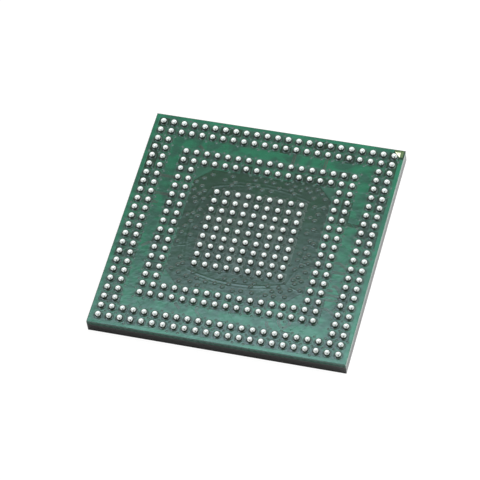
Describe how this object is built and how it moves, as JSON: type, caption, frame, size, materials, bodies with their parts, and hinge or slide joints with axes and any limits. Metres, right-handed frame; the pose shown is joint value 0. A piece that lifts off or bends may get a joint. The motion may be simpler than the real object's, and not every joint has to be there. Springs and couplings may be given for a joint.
{
  "type": "ball grid array chip",
  "caption": "Flat square chip package with a ringed grid of solder balls on its green laminate face and a black mould cap behind, lying on the cap.",
  "frame": {"origin": "centre of the mould cap's outer face, which the chip lies on", "axes": "+Z out of the ball side, +X along the ball rows towards column 1, +Y towards row A"},
  "size_m": [0.019, 0.019, 0.0014],
  "materials": {
    "mould_compound": "matte black, fine filler grain",
    "silicon": "polished grey",
    "die_attach": "cream film",
    "gold": "bright gold",
    "copper": "satin copper",
    "solder_mask": "glossy green",
    "laminate": "sawn teal-grey laminate",
    "solder": "bright tin alloy"
  },
  "bodies": {
    "root": {"mould_cap": "mould_compound", "silicon_die": "silicon", "die_attach_film": "die_attach", "bond_wires": "gold", "bond_fingers": "gold", "die_paddle": "copper", "die_side_mask": "solder_mask", "laminate_core": "laminate", "ball_side_copper": "copper", "ball_side_mask": "solder_mask", "corner_mark": "gold", "balls_row_a": "solder", "balls_row_b": "solder", "balls_row_c": "solder", "balls_row_d": "solder", "balls_row_e": "solder", "balls_row_f": "solder", "balls_row_g": "solder", "balls_row_h": "solder", "balls_row_j": "solder", "balls_row_k": "solder", "balls_row_l": "solder", "balls_row_m": "solder", "balls_row_n": "solder", "balls_row_p": "solder", "balls_row_r": "solder", "balls_row_t": "solder", "balls_row_u": "solder", "balls_row_v": "solder", "balls_row_w": "solder", "balls_row_y": "solder", "balls_row_aa": "solder", "balls_row_ab": "solder", "balls_row_ac": "solder"}
  },
  "joints": []
}
